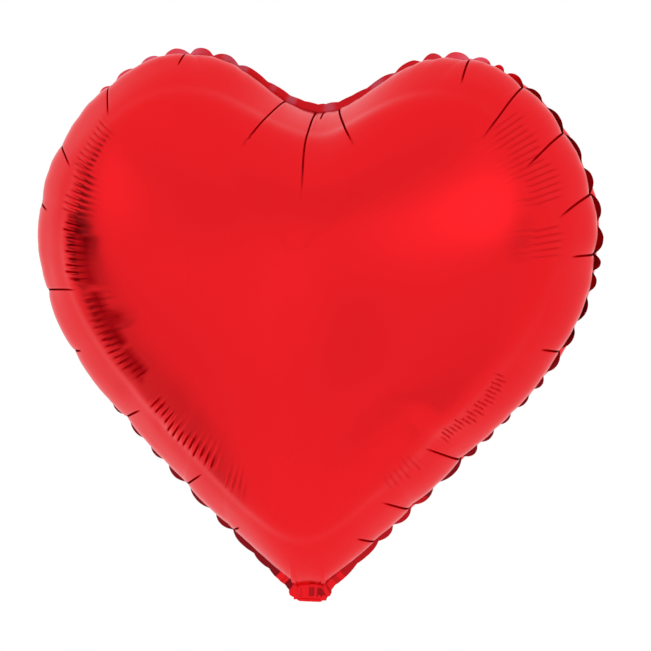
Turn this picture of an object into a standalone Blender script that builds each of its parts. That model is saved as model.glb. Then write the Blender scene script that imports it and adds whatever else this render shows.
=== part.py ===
"""Heart-shaped foil balloon: two heat-sealed foil panels, a folding filling tail and its film valve.

Metres, +Z up, the front panel towards -Y. The origin is the middle of the crease at the heart's tip,
where the tail folds and where a ribbon is tied. At rest the tail is folded up behind the back panel.
"""

import math

import bmesh
import bpy
import numpy as np
from mathutils import Matrix

# Overall inflated size
WIDTH = 0.365
HEIGHT = 0.3535
DEPTH = 0.196
NOTCH_DEPTH = 0.036
LOBE_SPAN = 0.1645

# Heat-sealed edge and foil
FLANGE = 0.0062
FOIL_WALL = 0.0004
SHEET_GAP = 0.0003

# Filling tail
TAIL_LENGTH = 0.056
TAIL_WIDTH = 0.021
TAIL_MOUTH_WIDTH = 0.027
TAIL_SEAL = 0.0035
TAIL_CLEARANCE = 0.0012

# Valve: two films that lie against each other in the neck
FILM_WALL = 0.0003
FILM_LENGTH_INSIDE = 0.060
FILM_SETBACK = 0.008
FILM_SIDE_CLEARANCE = 0.0004

# Mesh resolution
POINTS_PER_CURVE = (12, 7, 12, 8)
RINGS = 10
RING_CROWDING = 2.2

CHANNEL_RAMP = 0.0008
CHANNEL_HALF_GAP = 1.5 * SHEET_GAP + FILM_WALL
CHANNEL_HALF_WIDTH = TAIL_WIDTH / 2 - TAIL_SEAL
FILM_WIDTH = 2 * (CHANNEL_HALF_WIDTH - FILM_SIDE_CLEARANCE)
FLANGE_MIDDLE = SHEET_GAP / 2 + FOIL_WALL / 2
CHANNEL_MIDDLE = CHANNEL_HALF_GAP + FOIL_WALL / 2
HALF_STACK = CHANNEL_HALF_GAP + FOIL_WALL
CREASE_CLEARANCE = 2 * HALF_STACK + SHEET_GAP
GRID_CENTRE = np.array([0.0, 0.58 * HEIGHT])
BOWL_DEPTH = DEPTH / 2 - FLANGE_MIDDLE - FOIL_WALL / 2
FULLNESS = 0.62

RED_FOIL = (0.80, 0.012, 0.018)
SILVER_FOIL = (0.62, 0.60, 0.60)
CLEAR_FILM = (0.80, 0.82, 0.84)


def clear_scene():
    for obj in list(bpy.data.objects):
        bpy.data.objects.remove(obj, do_unlink=True)


def foil_material(name, color, metallic, roughness):
    material = bpy.data.materials.new(name)
    material.use_nodes = True
    shader = material.node_tree.nodes["Principled BSDF"]
    shader.inputs["Base Color"].default_value = (*color, 1.0)
    shader.inputs["Metallic"].default_value = metallic
    shader.inputs["Roughness"].default_value = roughness
    return material


def bezier(start, handle_a, handle_b, end, count):
    """Points of a cubic curve, without its last point."""
    t = np.linspace(0, 1, count + 1)[:-1, None]
    start, handle_a, handle_b, end = map(np.array, (start, handle_a, handle_b, end))
    return (
        (1 - t) ** 3 * start
        + 3 * (1 - t) ** 2 * t * handle_a
        + 3 * (1 - t) * t**2 * handle_b
        + t**3 * end
    )


def half_outline():
    """Right half of the heart's cut edge, from the middle of the tip's straight edge up to the notch."""
    w = WIDTH / 2
    notch = HEIGHT - NOTCH_DEPTH
    lobe = LOBE_SPAN / 2
    corner = (TAIL_WIDTH / 2, CREASE_CLEARANCE)
    flank = (0.781 * w, 0.392 * HEIGHT)
    widest = (w, 0.672 * HEIGHT)
    top = (lobe, HEIGHT)
    curves = (
        (corner, (0.286 * w, 0.129 * HEIGHT), (0.589 * w, 0.277 * HEIGHT), flank),
        (flank, (0.893 * w, 0.460 * HEIGHT), (w, 0.565 * HEIGHT), widest),
        (widest, (w, 0.820 * HEIGHT), (lobe + 0.29 * w, HEIGHT), top),
        (top, (lobe - 0.20 * w, HEIGHT), (0.35 * lobe, notch), (0, notch)),
    )
    straight = [
        (x, CREASE_CLEARANCE)
        for x in (0, CHANNEL_HALF_WIDTH, CHANNEL_HALF_WIDTH + CHANNEL_RAMP)
    ]
    sides = [bezier(*curve, n) for curve, n in zip(curves, POINTS_PER_CURVE)]
    return np.concatenate([straight, *sides, [(0, notch)]])


def full_outline():
    """Closed, counterclockwise seen from the front with +X to the right; starts at the tip."""
    right = half_outline()
    left = right[-2:0:-1] * (-1, 1)
    return np.concatenate([right, left])


def inset(outline, distance):
    """The outline moved inwards by a distance, mitred at its corners."""
    before = outline - np.roll(outline, 1, axis=0)
    after = np.roll(outline, -1, axis=0) - outline
    normals = []
    for edge in (before, after):
        unit = edge / np.linalg.norm(edge, axis=1)[:, None]
        normals.append(np.stack([-unit[:, 1], unit[:, 0]], axis=1))
    mitre = normals[0] + normals[1]
    mitre /= (1 + (normals[0] * normals[1]).sum(axis=1))[:, None]
    return outline + distance * mitre


def inner_width(points, seam):
    """Mean free distance to the seam, zero on it and largest in the middle of the heart."""
    spokes = seam[None] - points[:, None]
    following = np.roll(spokes, -1, axis=1)
    cross = spokes[..., 0] * following[..., 1] - spokes[..., 1] * following[..., 0]
    angle = np.arctan2(cross, (spokes * following).sum(axis=2))
    length = (np.linalg.norm(spokes, axis=2) + np.linalg.norm(following, axis=2)) / 2
    return 2 * math.pi / np.abs((angle / length).sum(axis=1))


def channel_offset(x):
    """Distance of a sealed edge's middle layer from the seam plane: more where the valve passes."""
    ramp = (abs(x) - CHANNEL_HALF_WIDTH) / CHANNEL_RAMP
    return CHANNEL_MIDDLE + (FLANGE_MIDDLE - CHANNEL_MIDDLE) * min(max(ramp, 0), 1)


def bowl_rings():
    """Rings of points (x, z) from the middle outwards, each with its depths from the seam plane."""
    seam = inset(full_outline(), FLANGE)
    shares = 1 - (1 - np.arange(1, RINGS) / RINGS) ** RING_CROWDING
    most = inner_width(GRID_CENTRE[None], seam)[0]
    rings = []
    for share in shares:
        points = GRID_CENTRE + share * (seam - GRID_CENTRE)
        rise = BOWL_DEPTH * (inner_width(points, seam) / most) ** FULLNESS
        rings.append((points, FLANGE_MIDDLE + np.minimum(rise, BOWL_DEPTH)))
    return rings


def tail_rest_angle():
    """Angle between the seam plane and the tail folded up, where it leans on the back panel's tip."""
    reach = HALF_STACK + FOIL_WALL + TAIL_CLEARANCE
    angles = []
    for points, depths in bowl_rings():
        distance = np.hypot(points[:, 1], depths)
        near = (abs(points[:, 0]) < TAIL_MOUTH_WIDTH / 2) & (distance < TAIL_LENGTH)
        lean = np.arctan2(depths, points[:, 1]) + np.arcsin(reach / distance)
        angles += list(lean[near])
    return max(angles)


def new_object(name, mesh, material, parent):
    mesh.materials.append(material)
    obj = bpy.data.objects.new(name, mesh)
    bpy.context.scene.collection.objects.link(obj)
    obj.parent = parent
    return obj


def panel(name, side, material, parent):
    """One foil panel: a bowl with a flat sealed edge. side is -1 for the front, +1 for the back."""
    edge = full_outline()
    seam = inset(edge, FLANGE)
    count = len(edge)
    at_tip = edge[:, 1] < CREASE_CLEARANCE + FLANGE / 2
    base = np.where(at_tip, [channel_offset(x) for x in edge[:, 0]], FLANGE_MIDDLE)

    bm = bmesh.new()
    centre = bm.verts.new((0, side * (FLANGE_MIDDLE + BOWL_DEPTH), GRID_CENTRE[1]))
    rings = []
    for points, depths in bowl_rings():
        rings.append([bm.verts.new((x, side * y, z)) for (x, z), y in zip(points, depths)])
    for line in (seam, edge):
        rings.append([bm.verts.new((x, side * y, z)) for (x, z), y in zip(line, base)])
    for i in range(count):
        k = (i + 1) % count
        bm.faces.new((centre, rings[0][i], rings[0][k]))
        for inner, outer in zip(rings, rings[1:]):
            bm.faces.new((inner[i], outer[i], outer[k], inner[k]))
    if side > 0:
        bmesh.ops.reverse_faces(bm, faces=bm.faces)
    mesh = bpy.data.meshes.new(name)
    bm.to_mesh(mesh)
    bm.free()
    mesh.shade_smooth()
    obj = new_object(name, mesh, material, parent)
    wall = obj.modifiers.new("foil wall", "SOLIDIFY")
    wall.thickness = FOIL_WALL
    wall.offset = 0
    wall.use_even_offset = True
    return obj


def layer(name, section_top, section_bottom, z_top, z_bottom, material, parent):
    """A thin layer: one closed section at z_top, joined to the same section flared at z_bottom."""
    bm = bmesh.new()
    top = [bm.verts.new((x, y, z_top)) for x, y in section_top]
    bottom = [bm.verts.new((x, y, z_bottom)) for x, y in section_bottom]
    bm.faces.new(top)
    bm.faces.new(bottom[::-1])
    for i in range(len(top)):
        k = (i + 1) % len(top)
        bm.faces.new((top[k], top[i], bottom[i], bottom[k]))
    bmesh.ops.recalc_face_normals(bm, faces=bm.faces)
    mesh = bpy.data.meshes.new(name)
    bm.to_mesh(mesh)
    bm.free()
    return new_object(name, mesh, material, parent)


def tail_section(side, width):
    """Section of one tail layer across X: flat seals at the sides, raised over the valve channel."""
    half = [
        (CHANNEL_HALF_WIDTH, CHANNEL_MIDDLE),
        (CHANNEL_HALF_WIDTH + CHANNEL_RAMP, FLANGE_MIDDLE),
        (width / 2, FLANGE_MIDDLE),
    ]
    across = [(-x, y) for x, y in half[::-1]] + half
    outer = [(x, side * (y + FOIL_WALL / 2)) for x, y in across]
    inner = [(x, side * (y - FOIL_WALL / 2)) for x, y in across]
    return outer + inner[::-1]


def film_section(side):
    near = side * SHEET_GAP / 2
    far = side * (SHEET_GAP / 2 + FILM_WALL)
    x = FILM_WIDTH / 2
    return [(-x, near), (x, near), (x, far), (-x, far)]


def fold_up(obj):
    """Turns a piece modelled hanging straight down to the tail's folded rest position."""
    turn = Matrix.Rotation(math.pi - tail_rest_angle(), 4, "X")
    obj.data.transform(turn)


def build():
    clear_scene()
    red = foil_material("red_foil", RED_FOIL, 1.0, 0.22)
    red_back = foil_material("red_foil_back", RED_FOIL, 1.0, 0.22)
    red_tail = foil_material("red_foil_tail", RED_FOIL, 1.0, 0.25)
    silver_tail = foil_material("silver_foil_tail", SILVER_FOIL, 1.0, 0.25)
    film = foil_material("clear_film", CLEAR_FILM, 0.0, 0.20)

    balloon = bpy.data.objects.new("balloon_frame", None)
    tail = bpy.data.objects.new("tail_crease", None)
    for empty in (balloon, tail):
        bpy.context.scene.collection.objects.link(empty)
    tail.parent = balloon

    panel("front_panel", -1, red, balloon)
    panel("back_panel", 1, red_back, balloon)
    for name, side in (("valve_front_film", -1), ("valve_back_film", 1)):
        section = film_section(side)
        top = CREASE_CLEARANCE + FILM_LENGTH_INSIDE
        layer(name, section, section, top, CREASE_CLEARANCE, film, balloon)

    start = -CREASE_CLEARANCE
    for name, side, foil in (
        ("tail_front_layer", -1, red_tail),
        ("tail_back_layer", 1, silver_tail),
    ):
        sections = tail_section(side, TAIL_WIDTH), tail_section(side, TAIL_MOUTH_WIDTH)
        fold_up(layer(name, *sections, start, -TAIL_LENGTH, foil, tail))
    for name, side in (("tail_valve_front_film", -1), ("tail_valve_back_film", 1)):
        section = film_section(side)
        end = FILM_SETBACK - TAIL_LENGTH
        fold_up(layer(name, section, section, start, end, film, tail))


build()
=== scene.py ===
"""Looks of the heart-shaped foil balloon.

The foil is inflated by a cloth simulation from its flat pattern, fitted to the CAD outline, and
resampled on a fine grid that follows the rim, where pleats, ripples and scallops are added.
"""

import math

import bpy
import numpy as np
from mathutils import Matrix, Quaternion, Vector
from mathutils.bvhtree import BVHTree
from mathutils.geometry import delaunay_2d_cdt
from mathutils.noise import noise as noise_at


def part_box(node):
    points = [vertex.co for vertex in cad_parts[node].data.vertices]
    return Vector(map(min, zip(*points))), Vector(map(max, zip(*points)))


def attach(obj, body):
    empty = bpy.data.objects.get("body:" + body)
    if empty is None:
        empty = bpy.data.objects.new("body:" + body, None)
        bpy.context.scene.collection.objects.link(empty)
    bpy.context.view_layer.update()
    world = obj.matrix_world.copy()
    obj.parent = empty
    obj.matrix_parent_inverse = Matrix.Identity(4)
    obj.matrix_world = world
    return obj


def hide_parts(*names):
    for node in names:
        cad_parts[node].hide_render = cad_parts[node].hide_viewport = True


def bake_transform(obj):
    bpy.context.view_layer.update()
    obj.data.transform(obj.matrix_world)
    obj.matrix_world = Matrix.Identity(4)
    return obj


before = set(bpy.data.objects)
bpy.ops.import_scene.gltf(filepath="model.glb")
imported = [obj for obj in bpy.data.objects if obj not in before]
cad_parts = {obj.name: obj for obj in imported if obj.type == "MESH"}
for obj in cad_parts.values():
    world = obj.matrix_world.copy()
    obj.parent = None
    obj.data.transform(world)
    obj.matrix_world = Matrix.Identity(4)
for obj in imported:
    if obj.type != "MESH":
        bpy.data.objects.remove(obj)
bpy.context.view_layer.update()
MM = 0.001

# ---------------------------------------------------------------- flat pattern and cloth inflation

FLANGE = 6.2 * MM
# Right half of the flat pattern with its sealed edge, in metres: cubic curves from tip to notch
FLAT_CURVES = (
    ((0.010, -0.040), (0.062, -0.010), (0.128, 0.038), (0.181, 0.100)),
    ((0.181, 0.100), (0.214, 0.138), (0.232, 0.183), (0.232, 0.230)),
    ((0.232, 0.230), (0.232, 0.320), (0.170, 0.402), (0.088, 0.402)),
    ((0.088, 0.402), (0.055, 0.402), (0.030, 0.384), (0.000, 0.384)),
)
FLAT_STEP = 4.6 * MM
SIM_SCALE = 10.0
PUCKER_LENGTH = 21 * MM
PUCKER_SEED = 1.0 * MM
# Start of the simulation: unevenness of the lattice in the sheets and its least gap to the seam,
# as shares of its step, unevenness of the film in mm, and how far each sheet starts off the middle
LATTICE_JITTER = 0.12
LATTICE_GAP = 0.6
FILM_JITTER = 0.2
SHEET_START = 1.0 * MM
SIM_FRAMES, SIM_QUALITY = 32, 8


def bezier(start, handle_a, handle_b, end, count):
    t = np.linspace(0, 1, count + 1)[:-1, None]
    start, handle_a, handle_b, end = map(np.array, (start, handle_a, handle_b, end))
    return (
        (1 - t) ** 3 * start
        + 3 * (1 - t) ** 2 * t * handle_a
        + 3 * (1 - t) * t**2 * handle_b
        + t**3 * end
    )


def closed_outline(curves):
    right = np.concatenate([bezier(*c, 150) for c in curves] + [np.array([curves[-1][3]])])
    left = right[-2::-1] * (-1, 1)
    return np.concatenate([right, left])


def resample(loop, step):
    closed = np.concatenate([loop, loop[:1]])
    s = np.concatenate([[0], np.cumsum(np.linalg.norm(np.diff(closed, axis=0), axis=1))])
    count = int(round(s[-1] / step))
    at = np.arange(count) / count * s[-1]
    return np.stack([np.interp(at, s, closed[:, k]) for k in range(2)], axis=1)


def inset(loop, distance):
    along = np.roll(loop, -1, axis=0) - np.roll(loop, 1, axis=0)
    along /= np.linalg.norm(along, axis=1)[:, None]
    return loop + distance * np.stack([-along[:, 1], along[:, 0]], axis=1)


def is_inside(points, loop):
    x, y = points[:, 0], points[:, 1]
    odd = np.zeros(len(points), bool)
    for (x1, y1), (x2, y2) in zip(loop, np.roll(loop, -1, axis=0)):
        crosses = (y1 > y) != (y2 > y)
        odd ^= crosses & (x < (x2 - x1) * (y - y1) / (y2 - y1 + 1e-15) + x1)
    return odd


def flat_balloon(step, random):
    """Two flat sheets that share the seam ring, and one strip of sealed edge outside it."""
    outer = resample(closed_outline(FLAT_CURVES), step)
    seam, middle = inset(outer, FLANGE), inset(outer, FLANGE / 2)
    n = len(outer)
    low, high = seam.min(axis=0), seam.max(axis=0)
    rows = np.arange(low[1], high[1], step * math.sqrt(3) / 2)
    across = np.arange(low[0], high[0], step)
    lattice = np.array([(x + step / 2 * (j % 2), y) for j, y in enumerate(rows) for x in across])
    lattice += random.uniform(-LATTICE_JITTER, LATTICE_JITTER, lattice.shape) * step
    lattice = lattice[is_inside(lattice, seam)]
    gap = np.linalg.norm(lattice[:, None] - seam[None, ::2], axis=2).min(axis=1)
    sheet = np.concatenate([seam, lattice[gap > LATTICE_GAP * step]])
    ring = [(i, (i + 1) % n) for i in range(n)]
    cut = delaunay_2d_cdt([Vector(p) for p in sheet], ring, [], 1, 1e-7)
    source = np.array([origin[0] for origin in cut[3]])
    front = source[np.array([tuple(face) for face in cut[2]])]
    m = len(sheet)
    a, b, c = (sheet[front[:, k]] for k in range(3))
    turned = (b[:, 0] - a[:, 0]) * (c[:, 1] - a[:, 1]) - (b[:, 1] - a[:, 1]) * (c[:, 0] - a[:, 0])
    if turned.mean() < 0:
        front = front[:, ::-1]
    back = np.where(front < n, front, front + m - n)[:, ::-1]
    o1, o2 = 2 * m - n, 2 * m
    i = np.arange(n)
    k = (i + 1) % n
    strip = [(i, o1 + i, k), (k, o1 + i, o1 + k), (o1 + i, o2 + i, o1 + k), (o1 + k, o2 + i, o2 + k)]
    strip = np.concatenate([np.stack(face, axis=1) for face in strip])
    flat = np.concatenate([sheet, sheet[n:], middle, outer])
    y = np.zeros(len(flat))
    y[n:m], y[m : 2 * m - n] = -SHEET_START, SHEET_START
    y += random.uniform(-FILM_JITTER, FILM_JITTER, len(flat)) * MM
    along = np.arange(n) / n
    waves = round(n * step / PUCKER_LENGTH)
    phase = 2 * math.pi * (waves * along + 0.35 * np.sin(2 * math.pi * 5 * along + 1.0))
    pucker = PUCKER_SEED * np.cos(phase)
    y[:n] += pucker
    y[o1:o2] += 1.5 * pucker
    y[o2:] += 2 * pucker
    points = np.stack([flat[:, 0], y, flat[:, 1]], axis=1)
    return points, front, back, strip, n, m


def inflate(points, faces, frames, quality):
    """Pressurises the flat envelope with Blender's cloth solver and returns where its points end."""
    mesh = bpy.data.meshes.new("envelope")
    mesh.from_pydata((points * SIM_SCALE).tolist(), [], faces.tolist())
    obj = bpy.data.objects.new("envelope", mesh)
    scene = bpy.context.scene
    scene.collection.objects.link(obj)
    cloth = obj.modifiers.new("cloth", "CLOTH")
    s = cloth.settings
    s.quality = quality
    s.mass = 0.05
    s.tension_stiffness = s.compression_stiffness = s.shear_stiffness = 80
    s.bending_stiffness = 0.1
    s.tension_damping = s.compression_damping = s.shear_damping = 5
    s.bending_damping = 0.5
    s.air_damping = 3
    s.use_pressure = True
    s.uniform_pressure_force = 20
    s.effector_weights.gravity = 0
    cloth.collision_settings.use_collision = False
    scene.frame_start, scene.frame_end = 1, frames
    cloth.point_cache.frame_start, cloth.point_cache.frame_end = 1, frames
    for number in range(1, frames + 1):
        scene.frame_set(number)
    done = obj.evaluated_get(bpy.context.evaluated_depsgraph_get())
    result = done.to_mesh()
    end = np.empty(len(result.vertices) * 3)
    result.vertices.foreach_get("co", end)
    done.to_mesh_clear()
    bpy.data.objects.remove(obj, do_unlink=True)
    bpy.data.meshes.remove(mesh)
    scene.frame_set(1)
    return end.reshape(-1, 3) / SIM_SCALE


# ---------------------------------------------------------------- fitting to the CAD frame

panel_low, panel_high = (np.array(corner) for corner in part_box("front_panel"))
CENTRE = np.array([0.0, 0.58 * panel_high[2]])
HALF_DEPTH = -panel_low[1]


def ray_radius(angles, starts, ends):
    """Distance from CENTRE to the farthest segment crossed by each ray."""
    a, b = starts - CENTRE, ends - CENTRE
    edge = b - a
    direction = np.stack([np.cos(angles), np.sin(angles)], axis=1)
    cross = direction[:, None, 0] * edge[None, :, 1] - direction[:, None, 1] * edge[None, :, 0]
    cross = np.where(abs(cross) < 1e-12, 1e-12, cross)
    along = (a[:, 0] * edge[:, 1] - a[:, 1] * edge[:, 0])[None] / cross
    share = (a[None, :, 0] * direction[:, None, 1] - a[None, :, 1] * direction[:, None, 0]) / cross
    hit = (share > -1e-6) & (share < 1 + 1e-6) & (along > 0)
    return np.where(hit, along, 0).max(axis=1)


def cad_outline(count):
    """The CAD flange's outer edge as a loop of points (x, z), counterclockwise from the tip."""
    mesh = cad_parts["front_panel"].data
    points = np.empty(len(mesh.vertices) * 3)
    mesh.vertices.foreach_get("co", points)
    points = points.reshape(-1, 3)
    edges = np.empty(len(mesh.edges) * 2, int)
    mesh.edges.foreach_get("vertices", edges)
    edges = edges.reshape(-1, 2)
    flat = (abs(points[edges][:, :, 1]) < 1.5 * MM).all(axis=1)
    starts, ends = (points[edges[flat][:, k]][:, [0, 2]] for k in (0, 1))
    angles = np.linspace(-math.pi / 2, 1.5 * math.pi, count, endpoint=False)
    radius = ray_radius(angles, starts, ends)
    return CENTRE + radius[:, None] * np.stack([np.cos(angles), np.sin(angles)], axis=1)


def stand_up(end, start, n, m):
    """Turns the inflated envelope back into the seam plane and scales it to the CAD box."""
    seam = end[:n]
    middle = seam.mean(axis=0)
    u, _, vt = np.linalg.svd((seam - middle).T @ (start[:n] - start[:n].mean(axis=0)))
    turn = u @ np.diag([1, 1, np.linalg.det(u @ vt)]) @ vt
    points = (end - middle) @ turn
    low, high = points[-n:].min(axis=0), points[-n:].max(axis=0)
    for axis in (0, 2):
        size = (panel_high - panel_low)[axis] / (high - low)[axis]
        points[:, axis] = panel_low[axis] + (points[:, axis] - low[axis]) * size
    depth = max(-points[n:m, 1].min(), points[m : 2 * m - n, 1].max())
    points[:, 1] *= (HALF_DEPTH - 0.6 * MM) / depth
    return points


# ---------------------------------------------------------------- grid that follows the rim

COLUMNS = 1680
RIM_BAND = 63 * MM
RIM_ROWS = 43
BAND_COLUMNS = ((1, RIM_ROWS), (2, 4), (4, 5), (8, 5))
FLAT_CENTRE = np.array([0.0, 0.225])


def rim_distances(reach):
    """Distance from the seam of each grid row along one column, given the way to the centre."""
    inner_rows = sum(rows for _, rows in BAND_COLUMNS[1:])
    rim = np.linspace(0, RIM_BAND, RIM_ROWS + 1)
    inner = RIM_BAND + np.linspace(0, 1, inner_rows + 1)[1:] * (reach[:, None] - RIM_BAND)
    return np.concatenate([np.tile(rim, (len(reach), 1)), inner], axis=1).T


def sample_sheet(points, flat, faces, flat_grid):
    """Positions on an inflated sheet of points given on its flat pattern."""
    used = [Vector((x, y, 0)) for x, y in flat]
    tree = BVHTree.FromPolygons(used, faces.tolist())
    found = [tree.find_nearest((x, y, 0))[2] for x, y in flat_grid.reshape(-1, 2)]
    corner = faces[np.array(found)]
    a, b, c = (flat[corner[:, k]] for k in range(3))
    p = flat_grid.reshape(-1, 2)
    area = np.cross(b - a, c - a)
    wa, wb = np.cross(b - p, c - p) / area, np.cross(c - p, a - p) / area
    weights = np.stack([wa, wb, 1 - wa - wb], axis=1)
    return (points[corner] * weights[:, :, None]).sum(axis=1).reshape(*flat_grid.shape[:2], 3)


def smooth_around(grid, sigma):
    """Gaussian smoothing along the closed rows, with a width in metres."""
    step = np.linalg.norm(np.roll(grid, -1, axis=1) - grid, axis=2).mean(axis=1)
    width = sigma / np.maximum(step, 1e-6)
    wave = np.fft.rfftfreq(grid.shape[1])
    keep = np.exp(-2 * (math.pi * wave[None] * width[:, None]) ** 2)
    return np.fft.irfft(np.fft.rfft(grid, axis=1) * keep[:, :, None], grid.shape[1], axis=1)


def smooth_inwards(grid, passes):
    """Smoothing along the columns, which run on past the middle to the opposite side."""
    beyond = np.roll(grid[-2 : -2 - passes : -1], grid.shape[1] // 2, axis=1)
    rows = np.concatenate([grid, beyond])
    for _ in range(passes):
        rows[1:-1] = (rows[:-2] + 2 * rows[1:-1] + rows[2:]) / 4
    rows = rows[: len(grid)]
    rows[-1] = rows[-1].mean(axis=0)
    return rows


def smooth(grid, sigma, passes):
    return smooth_inwards(smooth_around(grid, sigma), passes)


def grid_normals(grid):
    around = np.roll(grid, -1, axis=1) - np.roll(grid, 1, axis=1)
    inwards = np.gradient(grid, axis=0)
    normal = np.cross(around, inwards)
    normal[-1] = normal[-2].mean(axis=0)
    return normal / np.maximum(np.linalg.norm(normal, axis=2), 1e-12)[:, :, None]


def step_between(low, high, value):
    t = np.clip((value - low) / (high - low), 0, 1)
    return t * t * (3 - 2 * t)


def angle_gap(a, b):
    return (a - b + 180) % 360 - 180


# ---------------------------------------------------------------- pleats, ripples and scallops

# The front's features are placed as measured on the photo and rounded, and their heights and
# shades are given. The back's are invented in the same manner.
# Pleats: angle round the middle from +X in degrees, length in mm, and slant in degrees away from
# the way to the middle
FRONT_PLEATS = (
    (101, 33, -42), (91, 52, 3), (88, 6, 5), (83, 29, 46),
    (121, 10, -48), (138, 20, -34), (153, 18, -28), (165, 10, -29),
    (183, 24, -2), (197, 8, -21), (217, 16, -14), (239, 18, -28), (253, 8, -50),
    (56, 16, 28), (44, 39, 15), (32, 30, 18), (19, 22, 25), (7, 12, 0),
    (346, 9, 10), (311, 19, 25), (294, 14, 48), (284, 9, 60),
)  # fmt: skip
BACK_PLEATS = (
    (97, 34, -38), (90, 44, -4), (82, 28, 36),
    (61, 18, 20), (47, 26, 22), (35, 14, 10), (23, 30, 14), (9, 10, 6),
    (352, 20, 0), (338, 9, 10), (322, 22, 14), (304, 15, 30), (287, 8, 50),
    (119, 20, -24), (134, 12, -30), (147, 28, -20), (160, 14, -24), (176, 18, -8),
    (191, 24, -10), (207, 10, -12), (226, 20, -20), (245, 12, -36),
)  # fmt: skip
# Ripples: from and to angle, radius at each end, half length, height and wavelength in mm, and how
# strongly shade is painted into their troughs
FRONT_RIPPLES = (
    (142, 157, 159, 157, 9, 0.26, 3.6, 0.3),
    (153, 166, 156, 152, 10, 0.32, 4.2, 0.35),
    (165, 183, 153, 143, 7, 0.36, 4.2, 0.85),
    (183, 213, 136, 118, 7, 0.40, 4.2, 0.9),
    (217, 247, 119, 126, 7, 0.44, 4.3, 0.85),
    (249, 256, 132, 134, 7, 0.20, 4.0, 0.2),
    (18, 42, 160, 159, 13, 0.40, 4.0, 0.3),
    (7, 15.5, 153, 153, 12, 0.36, 4.2, 0.3),
    (311, 338, 129, 136, 4, 0.30, 3.0, 0.5),
    (293, 305, 133, 129, 7, 0.22, 4.0, 0.2),
    (80, 101, 45, 46, 7, 0.15, 4.4, 0.0),
    (50, 69, 74, 57, 8, 0.15, 4.6, 0.0),
)
BACK_RIPPLES = (
    (15, 40, 155, 150, 9, 0.22, 4.6, 0.35),
    (140, 172, 160, 150, 9, 0.24, 4.6, 0.35),
    (200, 232, 140, 130, 8, 0.24, 4.8, 0.5),
    (315, 345, 130, 140, 8, 0.22, 4.8, 0.35),
    (75, 105, 55, 55, 8, 0.14, 4.8, 0.0),
)
# Buckles between two pleats, with a sharp inner edge that bows inwards:
# from and to angle, radius of the inner edge at each end, its bow, width and depth in mm, and how
# strongly shadow is painted along the inner edge
FRONT_BUCKLES = (
    (165, 182.8, 153, 135, 10, 20, 0.9, 0.7),
    (183, 201, 132, 120, 7.5, 18, 1.0, 1.0),
    (201, 214, 120, 116, 3, 12, 0.6, 0.6),
)
BACK_BUCKLES = ((8, 26, 150, 148, 6, 15, 1.1, 0.5), (338, 352, 140, 146, 4, 12, 0.8, 0.5))
# Valley between the rolled rim and the dome: angle, radius and depth in mm
FRONT_VALLEY = (
    (-90, 150, 0.0), (-72, 140, 0.9), (-50, 128, 1.6), (-25, 134, 1.8), (-10, 144, 1.5),
    (0, 146, 1.3), (20, 155, 1.2), (42, 157, 0.8), (62, 130, 0.2), (90, 60, 0.0), (115, 120, 0.1),
    (143, 157, 0.5), (158, 154, 0.9), (166, 150, 1.2), (176, 134, 1.5), (190, 122, 1.5),
    (205, 121, 1.3), (220, 118, 1.3), (245, 126, 1.0), (255, 132, 0.4), (270, 150, 0.0),
)  # fmt: skip

VALLEY_SHARE = 0.5
SCALLOP_LENGTH = 17 * MM
SCALLOP_DEPTH = 2.2 * MM
SCALLOP_REACH = 7 * MM
PILLOW_DEPTH = 1.8 * MM
PILLOW_REACH = 32 * MM
# How far the rolled rim stands out beyond the seam, in mm: angle round the middle from the notch
ROLL_BULGE = (
    (-180, 1.5), (-170, 3.5), (-140, 5.0), (-115, 5.5), (-90, 4.6), (-40, 4.2), (-20, 3.0),
    (0, 1.5), (20, 3.0), (50, 4.6), (90, 6.2), (125, 4.4), (155, 3.4), (170, 2.4), (180, 1.5),
)  # fmt: skip
ROLL_AT = 14 * MM
# How far the seam itself lies outside the CAD outline, in mm: angle round the middle from the notch
SEAM_SHIFT = ((-180, 0.0), (90, 0.0), (115, 3.5), (150, 5.0), (165, 3.5), (180, 0.0))
SEAM_SHIFT_REACH = 34 * MM
CREASE_DEPTH = 0.9 * MM
CREASE_WIDTH = 0.8 * MM
CREASE_REACH = 3.0
# Smoothing of the simulated sheet, width round the rim and passes inwards: for the fine shape that
# SIM_DETAIL keeps a share of, for the broad outline, and for the broad depth
SIM_DETAIL = 0.25
FINE_SMOOTHING = (4.0 * MM, 4)
BROAD_SMOOTHING = (18.0 * MM, 10)
DEPTH_SMOOTHING = (26.0 * MM, 24)
FIT_BLUR = 16
FIT_REACH = 22 * MM
# How far the sealed edge leans back, as a share of its width: angle round the middle from the notch
FLANGE_LEAN = (
    (-180, 0.0), (-170, 0.3), (-125, 0.4), (-112, 0.0), (-100, -0.3), (-45, -0.3), (-32, 0.0),
    (0, 0.2), (30, 0.2), (60, 0.1), (95, 0.1), (120, 0.1), (160, 0.1), (172, 0.1), (180, 0.0),
)  # fmt: skip
NECK_HALF_WIDTH = 7.4 * MM
NECK_LIFT = 1.22 * MM
NECK_SEAM_HALF_WIDTH = 10 * MM
NECK_EXTRA = 0.9 * MM
# Rows of the sealed edge, as shares of its width, and how much narrower it is at a gather and at
# the shoulders
FLANGE_SHARES = (0.25, 0.5, 0.75, 1.0)
GATHER_LOSS = 0.45
SHOULDER_LOSS = 0.2
# Fine waves pressed into the sealed edge, and the crumpling near the tip
SEAL_WAVE, SEAL_WAVE_GROUP, SEAL_WAVE_HEIGHT = 1.15 * MM, 19 * MM, 0.25 * MM
CRUMPLE_FREQUENCY, CRUMPLE_HEIGHT = 260, 2.2 * MM
# Size of the patches of painted highlight on the sealed edge
PATCH_FREQUENCY = 90


def rim_angles(seam):
    """Angle of each column's rim point round the middle, in degrees."""
    return np.degrees(np.arctan2(seam[:, 2] - CENTRE[1], seam[:, 0]))


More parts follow.
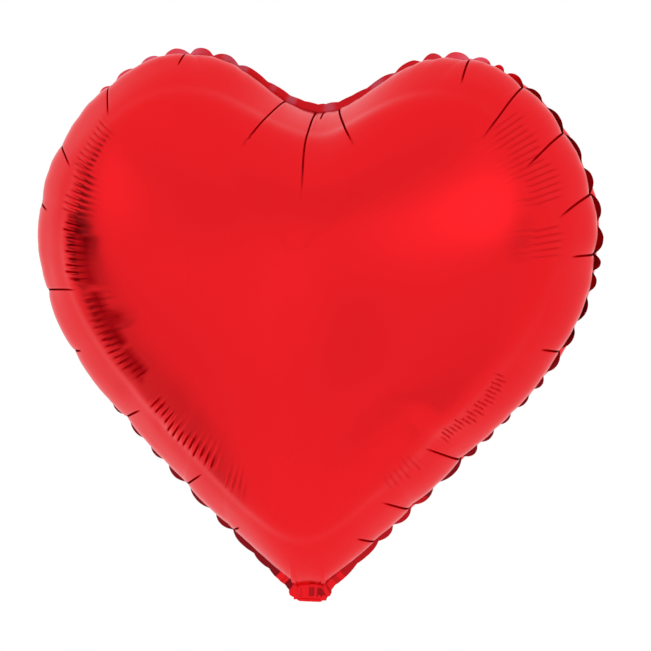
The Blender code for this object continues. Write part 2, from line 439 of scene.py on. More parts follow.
def column_at(angles, wanted):
    rising = np.unwrap(np.radians(angles))
    rising = np.degrees(rising - rising[0])
    return float(np.interp((wanted - angles[0]) % 360, rising, np.arange(len(angles))))


def cusp_columns(angles, spacing, random):
    """Where the rim is gathered: at every pleat of the front, and evenly between them."""
    columns = sorted(column_at(angles, pleat[0]) for pleat in FRONT_PLEATS)
    cusps = []
    for here, there in zip(columns, columns[1:] + [columns[0] + COLUMNS]):
        parts = max(1, round((there - here) * spacing / SCALLOP_LENGTH))
        for k in range(parts):
            shift = 0 if k == 0 else random.uniform(-0.16, 0.16)
            cusps.append(here + (there - here) * (k + shift) / parts)
    return np.array(sorted(c % COLUMNS for c in cusps))


def scallops(cusps):
    """Height of the rim between its gathers: 0 at each cusp, 1 at the middle of each lobe."""
    column = np.arange(COLUMNS)
    padded = np.concatenate([[cusps[-1] - COLUMNS], cusps, [cusps[0] + COLUMNS]])
    after = np.searchsorted(padded, column, side="right")
    before = padded[after - 1]
    share = (column - before) / (padded[after] - before)
    return 1 - abs(2 * share - 1) ** 2.2, after - 1


def calm(angles):
    """How strongly the rim is gathered: little in the taut notch and at the tip."""
    notch = step_between(13, 30, abs(angle_gap(angles, 90)))
    tip = step_between(8, 26, abs(angle_gap(angles, -90)))
    return 0.12 + 0.88 * notch * (0.1 + 0.9 * tip)


def round_middle(grid):
    """Angle in degrees and radius of each grid point round CENTRE, seen from the front."""
    x, z = grid[:, :, 0] - CENTRE[0], grid[:, :, 2] - CENTRE[1]
    return np.degrees(np.arctan2(z, x)), np.hypot(x, z)


def add_pleats(rise, grid, pleats, outline_radius):
    """Straight creases that run inwards from the rim, one side lying slightly over the other. Returns
    where across each crease and how strongly shade is painted along it.
    """
    nearest = np.full(rise.shape, 1000.0)
    strength = np.zeros(rise.shape)
    for angle, length, slant in pleats:
        a = math.radians(angle)
        way = np.array([math.cos(a), math.sin(a)])
        start = CENTRE + way * outline_radius(angle)
        c, s = math.cos(math.radians(slant)), math.sin(math.radians(slant))
        run = -np.array([way[0] * c - way[1] * s, way[0] * s + way[1] * c])
        offset = grid[:, :, [0, 2]] - start
        inward = offset @ run
        across = offset @ np.array([-run[1], run[0]])
        across += 0.15 * MM * np.sin(inward / (5 * MM) + angle)
        close = (abs(across) < 14 * MM) & (inward < (length + 5) * MM) & (inward > -12 * MM)
        fade = np.where(close, np.clip(1 - inward / (length * MM), 0, 1) ** 0.8, 0)
        depth = CREASE_DEPTH * min(1, 0.5 + length / 40)
        groove = np.exp(-abs(across) / CREASE_WIDTH) * depth
        lip = np.tanh(across / CREASE_WIDTH) * np.exp(-abs(across) / (5 * MM)) * 0.35 * depth
        rise += fade * (lip - groove)
        here = close & (abs(across) / MM < abs(nearest))
        nearest[here] = across[here] / MM
        here &= abs(across) < CREASE_REACH * MM
        strength[here] = np.clip(3 * (1 - inward[here] / (length * MM)), 0, 1)
    return np.clip(nearest, -CREASE_REACH, CREASE_REACH), strength


def add_ripples(rise, angle, radius, ripples, random):
    """Groups of parallel ripples, each a little uneven. Returns how much shade is painted into their
    troughs.
    """
    trough_shade = np.zeros(rise.shape)
    for first, last, r_first, r_last, half, height, wave, shade in ripples:
        share = angle_gap(angle, first) / (last - first)
        middle = (r_first + (r_last - r_first) * share) * MM
        phase = share * math.radians(last - first) * (r_first + r_last) / 2 / wave
        count = int(math.radians(last - first) * (r_first + r_last) / 2 / wave) + 2
        finger = np.clip(np.floor(phase), 0, count - 1).astype(int)
        uneven = random.uniform(0.6, 1.15, count)[finger]
        shift = random.uniform(-2.0, 2.0, count)[finger] * MM
        place = abs(radius - middle - shift) / (half * MM)
        ends = step_between(0, 0.12, share) * (1 - step_between(0.88, 1, share))
        window = (1 - step_between(0.35, 1.0, place)) * ends * (radius > 20 * MM)
        wave_height = np.cos(2 * math.pi * phase)
        rise += height * MM * uneven * window * wave_height
        # Painted shade in the ripples' troughs
        dark = step_between(0.1, 0.9, -wave_height) * step_between(0.1, 0.7, window * uneven)
        trough_shade = np.maximum(trough_shade, shade * dark)
    return trough_shade


def add_buckles(rise, angle, radius, buckles):
    """Dents behind a bowed inner edge. Returns how much shadow is painted along that edge."""
    shadow = np.zeros(rise.shape)
    for first, last, r_first, r_last, bow, width, depth, shade in buckles:
        share = angle_gap(angle, first) / (last - first)
        inside = (share > 0) & (share < 1)
        arch = np.where(inside, 4 * share * (1 - share), 0)
        edge = (r_first + (r_last - r_first) * share - bow * arch) * MM
        out = (radius - edge) / MM
        ramp = np.clip(1 - out / (width * (0.35 + 0.65 * arch)), 0, 1) ** 1.3 * step_between(-1.6, 0, out)
        rise -= depth * MM * ramp * np.sqrt(arch) * inside
        # Painted shadow along the dent's inner edge, fading outward
        fade = np.sqrt(1 - np.clip(out / (width * (0.25 + 0.55 * arch)), 0, 1))
        dark = shade * inside * fade * step_between(-0.8, 0.8, out) * step_between(0, 0.3, arch)
        shadow = np.maximum(shadow, dark)
    return shadow


def add_valley(rise, angle, radius, valley):
    angles, radii, depths = np.array(valley).T
    here = (angle + 90) % 360 - 90
    middle = np.interp(here, angles, radii) * MM
    depth = np.interp(here, angles, depths) * MM
    rise -= VALLEY_SHARE * depth * np.exp(-(((radius - middle) / (10 * MM)) ** 2))


def panel_shape(points, flat, faces, seam_flat):
    """The inflated panel on the rim grid, fitted to the CAD seam, without its fine details."""
    reach = np.linalg.norm(seam_flat - FLAT_CENTRE, axis=1)
    distance = rim_distances(reach)
    share = distance / reach[None]
    flat_grid = seam_flat[None] + (FLAT_CENTRE - seam_flat)[None] * share[:, :, None]
    raw = sample_sheet(points, flat, faces, flat_grid)
    raw[-1] = raw[-1].mean(axis=0)
    fine = smooth(raw, *FINE_SMOOTHING)
    broad = smooth(raw, *BROAD_SMOOTHING)
    broad[:, :, 1] = smooth(raw, *DEPTH_SMOOTHING)[:, :, 1]
    right, up = (seam_flat - FLAT_CENTRE).T
    from_notch = abs(angle_gap(np.degrees(np.arctan2(up, right)), 90))
    weight = SIM_DETAIL * step_between(30 * MM, 70 * MM, distance) * step_between(20, 50, from_notch)
    grid = broad + weight[:, :, None] * (fine - broad)
    grid[0, :, 1] = 0
    outline = inset(cad_outline(1440), FLANGE)
    seam = grid[0][:, [0, 2]] - CENTRE
    angles = np.arctan2(seam[:, 1], seam[:, 0])
    target = ray_radius(angles, outline, np.roll(outline, -1, axis=0))
    have = np.hypot(seam[:, 0], seam[:, 1])
    flat_part = grid[:, :, [0, 2]] - CENTRE
    radius = np.linalg.norm(flat_part, axis=2)
    at = np.arctan2(flat_part[:, :, 1], flat_part[:, :, 0])
    order = np.argsort(angles)
    even = np.linspace(-math.pi, math.pi, 720, endpoint=False)
    table = np.interp(even, angles[order], (target / have)[order], period=2 * math.pi)
    soft = np.exp(-2 * (math.pi * np.fft.rfftfreq(720) * FIT_BLUR) ** 2)
    table = np.fft.irfft(np.fft.rfft(table) * soft, 720)
    stretch = np.interp(at, even, table, period=2 * math.pi)
    rim_here = np.interp(at, angles[order], have[order], period=2 * math.pi)
    factor = 1 + (stretch - 1) * np.clip(radius / rim_here, 0, 1.2) ** 2
    factor += (target / have - factor[0])[None] * np.exp(-((distance / FIT_REACH) ** 2))
    grid[:, :, [0, 2]] = CENTRE + flat_part * factor[:, :, None]
    outward = flat_part[0] / np.linalg.norm(flat_part[0], axis=1)[:, None]
    shift = MM * np.interp(angle_gap(np.degrees(angles), 90), *zip(*SEAM_SHIFT))
    grid[:, :, [0, 2]] += outward * (shift * np.exp(-((distance / SEAM_SHIFT_REACH) ** 2)))[:, :, None]
    return grid, distance


def stitched_faces(bands):
    """Faces of the rim grid with fewer columns towards the middle, and the grid points they use."""
    used, faces = {}, []
    rows = [thin for thin, count in bands for _ in range(count)]
    rows.append(rows[-1])

    def point(i, j):
        return used.setdefault((i, j % COLUMNS), len(used))

    for i in range(len(rows) - 2):
        thin, inner = rows[i], rows[i + 1]
        for j in range(0, COLUMNS, inner):
            here, there = point(i + 1, j), point(i + 1, j + inner)
            if inner == thin:
                faces.append((point(i, j), point(i, j + thin), there, here))
            else:
                half = point(i, j + thin)
                faces.append((point(i, j), half, here))
                faces.append((half, there, here))
                faces.append((half, point(i, j + inner), there))
    last, thin = len(rows) - 2, rows[-1]
    middle = point(last + 1, 0)
    faces += [(point(last, j), point(last, j + thin), middle) for j in range(0, COLUMNS, thin)]
    return np.array(list(used)), faces


def mesh_object(name, points, faces, material, attributes=()):
    mesh = bpy.data.meshes.new(name)
    mesh.from_pydata(np.asarray(points).tolist(), [], faces)
    mesh.shade_smooth()
    mesh.set_sharp_from_angle(angle=math.radians(50))
    mesh.materials.append(material)
    for key, values in attributes:
        mesh.attributes.new(key, "FLOAT", "POINT").data.foreach_set("value", values.astype(np.float32))
    obj = bpy.data.objects.new(name, mesh)
    bpy.context.scene.collection.objects.link(obj)
    return obj


# ---------------------------------------------------------------- materials

RED = (0.82, 0.0105, 0.0155)
# Painted shade: the dark red mixed into the pleat lines, the ripple troughs and the buckle edges
CREASE_SHADE_RED = (0.22, 0.001, 0.003)
# Painted shade of the sealed edge, and painted shadow line along the seam
SEAL_SHADE_RED = (0.22, 0.003, 0.007)
EDGE_TINT = (1.0, 0.80, 0.82)
# Painted highlight: the pinkish red of the lit top of the sealed edge
SEAL_HIGHLIGHT_RED = (0.70, 0.115, 0.170)
COAT = 0.09
FILM = (0.80, 0.82, 0.84)


def principled(name, color, metallic, roughness):
    material = bpy.data.materials.new(name)
    material.use_nodes = True
    shader = material.node_tree.nodes["Principled BSDF"]
    shader.inputs["Base Color"].default_value = (*color, 1)
    shader.inputs["Metallic"].default_value = metallic
    shader.inputs["Roughness"].default_value = roughness
    return material, shader


def add_node(material, kind, **values):
    node = material.node_tree.nodes.new(kind)
    for key, value in values.items():
        setattr(node, key, value)
    return node


def attribute(material, name):
    return add_node(material, "ShaderNodeAttribute", attribute_name=name).outputs["Fac"]


def math_node(material, operation, *sources):
    node = add_node(material, "ShaderNodeMath", operation=operation)
    for source, socket in zip(sources, node.inputs):
        material.node_tree.links.new(source, socket)
    return node.outputs["Value"]


def noise(material, scale, detail):
    place = add_node(material, "ShaderNodeTexCoord")
    node = add_node(material, "ShaderNodeTexNoise")
    node.inputs["Scale"].default_value = scale
    node.inputs["Detail"].default_value = detail
    material.node_tree.links.new(place.outputs["Object"], node.inputs["Vector"])
    return node.outputs["Fac"]


def map_range(material, source, from_low, from_high, to_low, to_high):
    node = add_node(material, "ShaderNodeMapRange", interpolation_type="SMOOTHSTEP")
    keys = ("From Min", "From Max", "To Min", "To Max")
    for key, value in zip(keys, (from_low, from_high, to_low, to_high)):
        node.inputs[key].default_value = value
    material.node_tree.links.new(source, node.inputs["Value"])
    return node.outputs["Result"]


def mix_color(material, factor, a, b):
    node = add_node(material, "ShaderNodeMix", data_type="RGBA")
    links = material.node_tree.links
    links.new(factor, node.inputs["Factor"])
    for key, value in (("A", a), ("B", b)):
        socket = [s for s in node.inputs if s.name == key and s.type == "RGBA"][0]
        if isinstance(value, tuple):
            socket.default_value = (*value, 1)
        else:
            links.new(value, socket)
    return [s for s in node.outputs if s.type == "RGBA"][0]


def foil_material(name, color, crease_shade_color, creases=True):
    """Metallised film under a tinted lacquer, with satin reflections and a cloudy tint.

    With creases, the attributes of a panel paint shade into its pleat lines, ripple troughs and buckle
    edges, and paint shade, a shadow line along the seam and a pinkish highlight on its sealed edge.
    """
    material, shader = principled(name, color, 1.0, 0.24)
    links = material.node_tree.links
    shader.inputs["Specular Tint"].default_value = (*EDGE_TINT, 1)
    shader.inputs["Coat Weight"].default_value = COAT
    shader.inputs["Coat Roughness"].default_value = 0.3
    cloudy = noise(material, 9.0, 3.0)
    links.new(map_range(material, cloudy, 0.3, 0.7, 0.20, 0.28), shader.inputs["Roughness"])
    tint = mix_color(material, cloudy, tuple(0.95 * c for c in color), tuple(1.03 * c for c in color))
    if creases:
        # Painted shade: pleat lines, ripple troughs and buckle edges are mixed to a dark red, with a red
        # edge tint and no coat there
        width = math_node(material, "ABSOLUTE", attribute(material, "crease_across"))
        line = map_range(material, width, 0.35, 0.9, 1, 0)
        shown = math_node(material, "MULTIPLY", line, attribute(material, "crease_shade_strength"))
        dark = math_node(material, "MAXIMUM", shown, attribute(material, "trough_shade"))
        tint = mix_color(material, dark, tint, crease_shade_color)
        edge = mix_color(material, dark, EDGE_TINT, crease_shade_color)
        links.new(edge, shader.inputs["Specular Tint"])
        links.new(map_range(material, dark, 0, 0.6, COAT, 0), shader.inputs["Coat Weight"])
        # Painted pinkish highlight on the lit top of the sealed edge
        tint = mix_color(material, attribute(material, "seal_highlight"), tint, SEAL_HIGHLIGHT_RED)
        # Painted shade on the sealed edge, and a painted shadow line along the seam
        tint = mix_color(material, attribute(material, "sealed"), tint, SEAL_SHADE_RED)
    links.new(tint, shader.inputs["Base Color"])
    grain = noise(material, 900.0, 2.0)
    bump = add_node(material, "ShaderNodeBump")
    bump.inputs["Strength"].default_value = 0.05
    bump.inputs["Distance"].default_value = 0.0002
    links.new(grain, bump.inputs["Height"])
    links.new(bump.outputs["Normal"], shader.inputs["Normal"])
    return material


def film_material(name):
    """Clear plastic film of the valve, slightly hazy and streaked."""
    material, shader = principled(name, FILM, 0.0, 0.2)
    shader.inputs["Transmission Weight"].default_value = 0.75
    streaks = noise(material, 60.0, 4.0)
    links = material.node_tree.links
    links.new(map_range(material, streaks, 0.3, 0.7, 0.12, 0.35), shader.inputs["Roughness"])
    return material


red_foil = foil_material("red_foil", RED, CREASE_SHADE_RED)
red_foil_tail = foil_material("red_foil_tail", RED, CREASE_SHADE_RED, creases=False)
clear_film = film_material("clear_film")

# ---------------------------------------------------------------- the foil panels

random = np.random.RandomState(3)
step = FLAT_STEP * 1.0
start, front_faces, back_faces, strip_faces, n, m = flat_balloon(step, random)
end = inflate(start, np.concatenate([front_faces, back_faces, strip_faces]), SIM_FRAMES, SIM_QUALITY)
shape = stand_up(end, start, n, m)
flat = start[:, [0, 2]]


def seam_on_pattern():
    """The seam of the flat pattern as COLUMNS points at even distances."""
    loop = resample(inset(closed_outline(FLAT_CURVES), FLANGE), 0.3 * MM)
    loop = np.concatenate([loop, loop[:1]])
    length = np.concatenate([[0], np.cumsum(np.linalg.norm(np.diff(loop, axis=0), axis=1))])
    at = np.arange(COLUMNS) / COLUMNS * length[-1]
    return np.stack([np.interp(at, length, loop[:, k]) for k in range(2)], axis=1)


def neck_lift(x, z):
    """Half the thickness of the neck, which lies over the valve films."""
    across = 1 - step_between(NECK_HALF_WIDTH, NECK_HALF_WIDTH + 1.5 * MM, abs(x))
    return NECK_LIFT * across * (1 - step_between(18 * MM, 30 * MM, z))


detail = np.random.RandomState(11)
used, grid_faces = stitched_faces(BAND_COLUMNS)
seam_flat = seam_on_pattern()


def relief(grid, distance, angles, strength, gather, features, outline_radius):
    """How far each grid point is raised, and the values with which the material paints shade into the
    creases, ripple troughs and buckle edges there.
    """
    pleats, ripples, buckles, valley = features
    angle, radius = round_middle(grid)
    rise = -gather * np.exp(-((distance / SCALLOP_REACH) ** 1.3))
    pillow, _ = scallops(np.array(sorted(column_at(angles, pleat[0]) for pleat in pleats)))
    rise -= PILLOW_DEPTH * strength * (1 - pillow) * np.exp(-((distance / PILLOW_REACH) ** 1.5))
    roll = (distance / ROLL_AT) * np.exp(1 - distance / ROLL_AT)
    rise += MM * np.interp(angle_gap(angles, 90), *zip(*ROLL_BULGE)) * np.clip(roll, 0, 1) ** 1.5
    add_valley(rise, angle, radius, valley)
    shadow = add_buckles(rise, angle, radius, buckles)
    trough_shade = np.maximum(shadow, add_ripples(rise, angle, radius, ripples, detail))
    crease_across, crease_shade_strength = add_pleats(rise, grid, pleats, outline_radius)
    rise[0] = -gather
    return rise, crease_across, crease_shade_strength, trough_shade


def seam_outward(seam):
    """Unit directions in the seam plane, square to the seam and away from the balloon."""
    along = np.roll(seam, -8, axis=0) - np.roll(seam, 8, axis=0)
    outward = np.stack([along[:, 2], np.zeros(COLUMNS), -along[:, 0]], axis=1)
    return outward / np.linalg.norm(outward, axis=1)[:, None]


def rise_directions(grid, distance, outward, side):
    """Where the relief rises to: along the sheet's broad normal, and outward at the seam."""
    normal = grid_normals(grid)
    if (normal[len(normal) // 2, :, 1].mean() > 0) == (side < 0):
        normal = -normal
    folded = (side * normal[:, :, 1] < 0) & (distance > 15 * MM)
    normal[folded] *= -1
    normal = sum(np.roll(normal, shift, axis=1) for shift in range(-15, 16, 3))
    normal[:, :, 1] = side * abs(normal[:, :, 1])
    normal /= np.linalg.norm(normal, axis=2)[:, :, None]
    weight = step_between(0, 20 * MM, distance)[:, :, None]
    normal = weight * normal + (1 - weight) * outward[None]
    return normal / np.linalg.norm(normal, axis=2)[:, :, None]


def sealed_edge(rim, arc, from_notch, neck, strength, bump, tilt, outward, side):
    """Rows of points of the sealed edge beyond the rim, and how crumpled each column is."""
    lean_back = np.interp(from_notch, *zip(*FLANGE_LEAN))
    reach = FLANGE * (1 - GATHER_LOSS * strength * (1 - bump)) * np.sqrt(1 - lean_back**2)
    aside = abs(from_notch)
    reach *= 1 - SHOULDER_LOSS * step_between(12, 25, aside) * (1 - step_between(60, 80, aside))
    reach[neck] = FLANGE + NECK_EXTRA
    f = CRUMPLE_FREQUENCY
    crumple = np.array([noise_at(Vector((x * f, z * f, 0.4))) for x, _, z in rim])
    crumple *= 1 - step_between(16 * MM, 34 * MM, np.hypot(rim[:, 0], rim[:, 2]))
    wave = np.sin(arc / SEAL_WAVE) * step_between(0.3, 1.0, np.sin(arc / SEAL_WAVE_GROUP))
    rows = []
    for share in FLANGE_SHARES:
        edge = rim + outward * (reach * share)[:, None]
        edge[:, 1] = share * strength * FLANGE * (lean_back + 0.2 * bump * tilt)
        edge[:, 1] += share * SEAL_WAVE_HEIGHT * wave + share * CRUMPLE_HEIGHT * crumple
        edge[:, 1] += side * np.maximum(0.08 * MM, neck_lift(edge[:, 0], edge[:, 2]))
        rows.append(edge)
    return rows, crumple


def seal_tones(rim, from_notch, neck, crumple):
    """How far each column of the sealed edge is in its lit top part, how much highlight is painted on it
    there, and how much shade is painted on it.
    """
    left_end, right_end = step_between(-40, -48, from_notch), step_between(75, 95, from_notch)
    top = 1 - np.where(from_notch < 0, left_end, right_end)
    # Painted shade on the sealed edge: none on the lit top, dark and bright facets where the tip is
    # crumpled, lighter just right of the tip, dark facets on the neck
    dark = 1 - step_between(0, 0.10, crumple - 0.04) * (abs(from_notch) > 120)
    dark *= np.where((from_notch < -152) & ~neck, 0.55, 1) * (1 - top)
    dark = np.where(neck, 0.8 * step_between(0.06, 0.14, crumple), dark)
    f = PATCH_FREQUENCY
    patchy = np.array([noise_at(Vector((x * f, 0, z * f))) for x, _, z in rim])
    in_notch = 1 - step_between(22, 34, abs(from_notch))
    # Painted shadow in the notch
    dark += 0.45 * in_notch
    # Painted pinkish highlight in patches, which only the lit top part receives
    seal_highlight = in_notch * 0.8 * step_between(0, 0.3, patchy) + (1 - in_notch) * (0.6 + 0.5 * patchy)
    return top, top * seal_highlight, dark


def foil_panel(name, side, features, shared):
    """One foil sheet with its half of the sealed edge. side is -1 for the front."""
    sheet_faces = front_faces if side < 0 else back_faces
    grid, distance = panel_shape(shape, flat, sheet_faces, seam_flat)
    if "seam" in shared:
        grid[0] = shared["seam"]
    seam = shared.setdefault("seam", grid[0].copy())
    angles = rim_angles(seam)
    radii = np.hypot(seam[:, 0], seam[:, 2] - CENTRE[1])
    order = np.argsort(angles)

    def outline_radius(at):
        return float(np.interp(angle_gap(at, 0), angles[order], radii[order], period=360))

    arc = np.cumsum(np.linalg.norm(np.roll(seam, -1, axis=0) - seam, axis=1))
    if "cusps" not in shared:
        shared["cusps"] = cusp_columns(angles, arc[-1] / COLUMNS, detail)
        shared["lean"] = detail.uniform(-1, 1, len(shared["cusps"]) + 2)
    bump, lobe = scallops(shared["cusps"])
    strength = calm(angles)
    gather = SCALLOP_DEPTH * strength * (1 - bump)
    rise, *fields = relief(grid, distance, angles, strength, gather, features, outline_radius)
    outward = seam_outward(seam)
    grid = grid + rise_directions(grid, distance, outward, side) * rise[:, :, None]
    cover = neck_lift(grid[:, :, 0], grid[:, :, 2])
    grid[:, :, 1] = side * np.maximum(side * grid[:, :, 1], cover + 0.05 * MM)

    from_notch = angle_gap(angles, 90)
    neck = (abs(seam[:, 0]) < NECK_SEAM_HALF_WIDTH) & (seam[:, 2] < CENTRE[1])
    tilt = shared["lean"][lobe]
    edges, crumple = sealed_edge(
        grid[0], arc, from_notch, neck, strength, bump, tilt, outward, side
    )
    rim = np.where(used[:, 0] == 0)[0]
    rows = [np.empty(COLUMNS, int)]
    rows[0][used[rim, 1]] = rim
    rows += [len(used) + k * COLUMNS + np.arange(COLUMNS) for k in range(len(edges))]
    following = np.roll(np.arange(COLUMNS), -1)
    faces = list(grid_faces)
    for inner, outer in zip(rows, rows[1:]):
        faces += np.stack([inner[following], inner, outer, outer[following]], axis=1).tolist()
    if side > 0:
        faces = [tuple(face)[::-1] for face in faces]

    top, seal_highlight, dark = seal_tones(grid[0], from_notch, neck, crumple)
    # Painted shadow line along the seam, and under the lit top along the row inside it; none at the neck
    seam_shade = np.where(neck, 0.0, 1.0)[used[:, 1]]
    is_seam, is_next = used[:, 0] == 0, used[:, 0] == 1
    seam_line = np.select([is_seam, is_next], [seam_shade, 0.6 * top[used[:, 1]]], 0)
    plain = np.zeros(len(edges) * COLUMNS)
    across, depth, trough_shade = (field[used[:, 0], used[:, 1]] for field in fields)
    # Attributes with which the material paints shade into creases, ripple troughs and buckle edges, and
    # shade and highlight on the sealed edge
    attributes = (
        ("crease_across", np.concatenate([across, plain + CREASE_REACH])),
        ("crease_shade_strength", np.concatenate([depth, plain])),
        ("trough_shade", np.concatenate([trough_shade, plain])),
        ("seal_highlight", np.concatenate([np.zeros(len(used)), np.tile(seal_highlight, len(edges))])),
        ("sealed", np.concatenate([seam_line, np.tile(dark, len(edges))])),
    )
    points = np.concatenate([grid[used[:, 0], used[:, 1]], *edges])
    obj = mesh_object(name, points, faces, red_foil, attributes)
    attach(obj, "balloon")
    return obj


shared = {}
front_features = (FRONT_PLEATS, FRONT_RIPPLES, FRONT_BUCKLES, FRONT_VALLEY)
back_valley = tuple((a, r, 0.8 * d) for a, r, d in FRONT_VALLEY)
back_features = (BACK_PLEATS, BACK_RIPPLES, BACK_BUCKLES, back_valley)
front = foil_panel("front_foil", -1, front_features, shared)
back = foil_panel("back_foil", 1, back_features, shared)
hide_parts("front_panel")
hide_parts("back_panel")

# ---------------------------------------------------------------- the filling tail

# The tail's sizes and its angle at rest are those of the CAD
TAIL_LENGTH = 56 * MM
TAIL_WIDTH = 21 * MM
TAIL_MOUTH_WIDTH = 27 * MM
TAIL_REST = math.radians(114.04)
TAIL_TOP = 3.0 * MM
TAIL_ROWS, TAIL_COLUMNS = 150, 64
NECK_ROWS, BEND_ROWS = 24, 22
# Distance of a layer from the tail's middle plane: beside the valve, how much more over it, where
# that step lies, and what is added everywhere
TAIL_OFFSET = 0.30 * MM
TAIL_OVER_VALVE = 1.02 * MM
VALVE_EDGE = (6.6 * MM, 8.6 * MM)
TAIL_CLEAR = 0.12 * MM
# Heights of the crinkles and ridges in mm, how far the mouth bulges, and how much closer the
# layers lie above the crease, where they run up under the panels
TAIL_CRINKLE, TAIL_RIDGE = 0.14, 0.10
MOUTH_BULGE = 1.0 * MM
NECK_PRESS = 0.32


def tail_station(kind, value, off, side, cot):
    """Place (y, z) of a tail point at a distance off the middle plane."""
    inner = cot * off if side > 0 else 0
    if kind == "neck":
        return side * off, max(value, inner)
    if kind == "bend":
        a = value * TAIL_REST
        return -off * math.cos(a), -off * math.sin(a)
    along = max(value, inner)
    turn = np.array([math.sin(TAIL_REST), -math.cos(TAIL_REST)])
    normal = np.array([-math.cos(TAIL_REST), -math.sin(TAIL_REST)])
    return along * turn - side * off * normal


def tail_foil(name, node, side):
    """One tail layer from the neck, round the crease, to the mouth. side is -1 for the outer one."""
    cot = 1 / math.tan((math.pi - TAIL_REST) / 2)
    neck = [("neck", z) for z in np.linspace(TAIL_TOP, 0, NECK_ROWS)]
    bend = [("bend", a) for a in np.linspace(0, 1, BEND_ROWS)[1:-1]] if side < 0 else []
    free = [("free", t) for t in np.linspace(0, TAIL_LENGTH, TAIL_ROWS)]
    stations = neck + bend + free
    points, faces = [], []
    for kind, value in stations:
        run = value if kind == "free" else 0
        width = TAIL_WIDTH + (TAIL_MOUTH_WIDTH - TAIL_WIDTH) * run / TAIL_LENGTH
        for u in np.linspace(-1, 1, TAIL_COLUMNS + 1):
            x = u * width / 2
            off = TAIL_OFFSET + TAIL_OVER_VALVE * (1 - step_between(*VALVE_EDGE, abs(x)))
            crinkle = noise_at(Vector((x * 160, run * 120 + 3 * side, 1.7)))
            ridge = abs(noise_at(Vector((x * 420, run * 300, 5.1 * side))))
            off += (TAIL_CRINKLE * crinkle + TAIL_RIDGE * ridge) * MM + TAIL_CLEAR
            off += MOUTH_BULGE * (run / TAIL_LENGTH) ** 5 * math.cos(u * math.pi / 2)
            if kind == "neck":
                off *= 1 - NECK_PRESS * step_between(0, 1.0 * MM, value)
            y, z = tail_station(kind, value, off, side, cot)
            points.append((x + 0.2 * MM * crinkle * abs(u), y, z))
    row = TAIL_COLUMNS + 1
    for i in range(len(stations) - 1):
        for j in range(TAIL_COLUMNS):
            a = i * row + j
            faces.append((a, a + 1, a + row + 1, a + row)[:: -side])
    obj = mesh_object(name, points, faces, red_foil_tail)
    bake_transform(obj)
    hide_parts(node)
    return obj


tail_foil("tail_front_foil", "tail_front_layer", -1)
tail_foil("tail_back_foil", "tail_back_layer", 1)
for film_node in ("valve_front_film", "valve_back_film", "tail_valve_front_film", "tail_valve_back_film"):
    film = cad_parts[film_node]
    film.data.materials.clear()
    film.data.materials.append(clear_film)

# ---------------------------------------------------------------- stage

scene = bpy.context.scene
scene.view_settings.view_transform = "Standard"
FRAME_WIDTH = 0.4158
AZIMUTH, ELEVATION, ROLL, DISTANCE = 8.0, 3.0, 1.26, 2.2
TARGET_X, TARGET_DROP = 0.0062, 0.0006
SENSOR_WIDTH = 36


def add_camera():
    data = bpy.data.cameras.new("camera")
    camera = bpy.data.objects.new("camera", data)
    scene.collection.objects.link(camera)
    a, e = math.radians(AZIMUTH), math.radians(ELEVATION)
    back_way = Vector((math.sin(a) * math.cos(e), -math.cos(a) * math.cos(e), math.sin(e)))
    target = Vector((TARGET_X, 0, panel_high[2] / 2 - TARGET_DROP))
    camera.location = target + back_way * DISTANCE
    camera.rotation_mode = "QUATERNION"
    level = (-back_way).to_track_quat("-Z", "Y")
    camera.rotation_quaternion = level @ Quaternion((0, 0, 1), math.radians(ROLL))
    data.sensor_width = SENSOR_WIDTH
    data.lens = SENSOR_WIDTH * DISTANCE / FRAME_WIDTH
    scene.camera = camera


add_camera()

# Soft patches of the studio: azimuth and elevation they shine from (azimuth 0 is -Y, 90 is +X),
# inner and outer half angle, and how much brighter or darker than plain white they are
PATCHES = (
    (-80, 4, 8, 15, -0.85),
    (-74, -12, 5, 12, -0.5),
    (-56, 18, 3, 13, 0.2),
    (-50, -26, 7, 20, -0.06),
    (-84, -44, 10, 30, -0.3),
    (42, -22, 6, 22, -0.04),
    (46, -56, 8, 28, -0.25),
    (24, 15, 4, 18, 0.2),
    (37, 22, 4, 14, 0.5),
    (50, 8, 4, 11, -0.3),
    (-34, 22, 6, 22, -0.08),
    (-12, 4, 4, 16, 0.05),
    (-10, -14, 4, 16, 0.05),
    (6, -20, 4, 18, -0.10),
    (4, 40, 6, 24, -0.10),
)


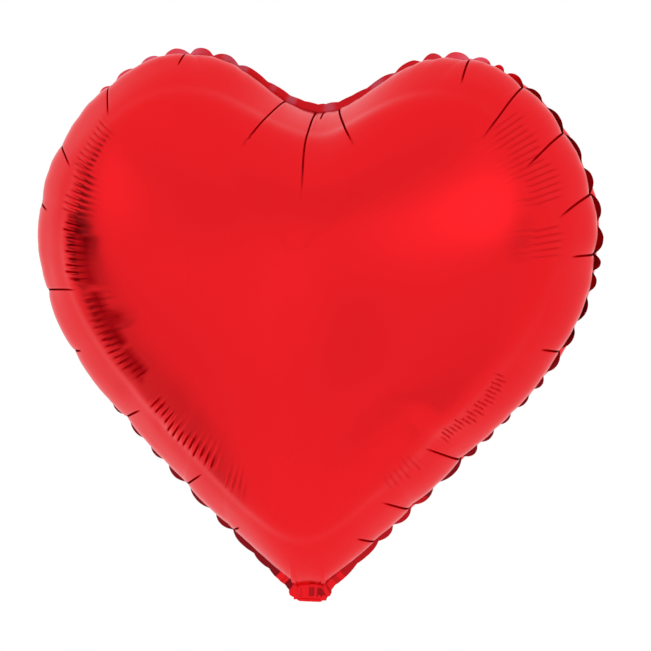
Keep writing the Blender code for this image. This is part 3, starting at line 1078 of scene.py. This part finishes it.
def add_world():
    """White for the camera, and white with the soft patches for everything that reflects it."""
    world = bpy.data.worlds.new("studio")
    scene.world = world
    world.use_nodes = True
    nodes, links = world.node_tree.nodes, world.node_tree.links
    background = nodes["Background"]
    place = nodes.new("ShaderNodeTexCoord")
    total = None
    for azimuth, elevation, inner, outer, gain in PATCHES:
        a, e = math.radians(azimuth), math.radians(elevation)
        way = (math.sin(a) * math.cos(e), -math.cos(a) * math.cos(e), math.sin(e))
        dot = nodes.new("ShaderNodeVectorMath")
        dot.operation = "DOT_PRODUCT"
        dot.inputs[1].default_value = way
        links.new(place.outputs["Generated"], dot.inputs[0])
        ramp = nodes.new("ShaderNodeMapRange")
        ramp.interpolation_type = "SMOOTHSTEP"
        ramp.inputs["From Min"].default_value = math.cos(math.radians(outer))
        ramp.inputs["From Max"].default_value = math.cos(math.radians(inner))
        ramp.inputs["To Min"].default_value = 0
        ramp.inputs["To Max"].default_value = gain
        links.new(dot.outputs["Value"], ramp.inputs["Value"])
        add = nodes.new("ShaderNodeMath")
        add.operation = "ADD"
        add.inputs[0].default_value = 1.0
        if total:
            links.new(total, add.inputs[0])
        links.new(ramp.outputs["Result"], add.inputs[1])
        total = add.outputs["Value"]
    path = nodes.new("ShaderNodeLightPath")
    plain = nodes.new("ShaderNodeMix")
    plain.data_type = "FLOAT"
    links.new(path.outputs["Is Camera Ray"], plain.inputs["Factor"])
    links.new(total, plain.inputs["A"])
    plain.inputs["B"].default_value = 1.0
    links.new(plain.outputs["Result"], background.inputs["Strength"])
    background.inputs["Color"].default_value = (1, 1, 1, 1)


add_world()


# Far enough below not to hide the lower patches from the foil, and out of the camera's view
FLOOR_HALF_SIZE = 1.0
FLOOR_Z = -1.0


def add_floor():
    material, shader = principled("pale_floor", (0.9, 0.9, 0.9), 0, 0.8)
    shader.inputs["Emission Color"].default_value = (1, 1, 1, 1)
    shader.inputs["Emission Strength"].default_value = 0.12
    size, z = FLOOR_HALF_SIZE, FLOOR_Z
    corners = [(-size, -size, z), (size, -size, z), (size, size, z), (-size, size, z)]
    mesh = bpy.data.meshes.new("floor")
    mesh.from_pydata(corners, [], [(0, 1, 2, 3)])
    mesh.materials.append(material)
    floor = bpy.data.objects.new("floor", mesh)
    scene.collection.objects.link(floor)


add_floor()
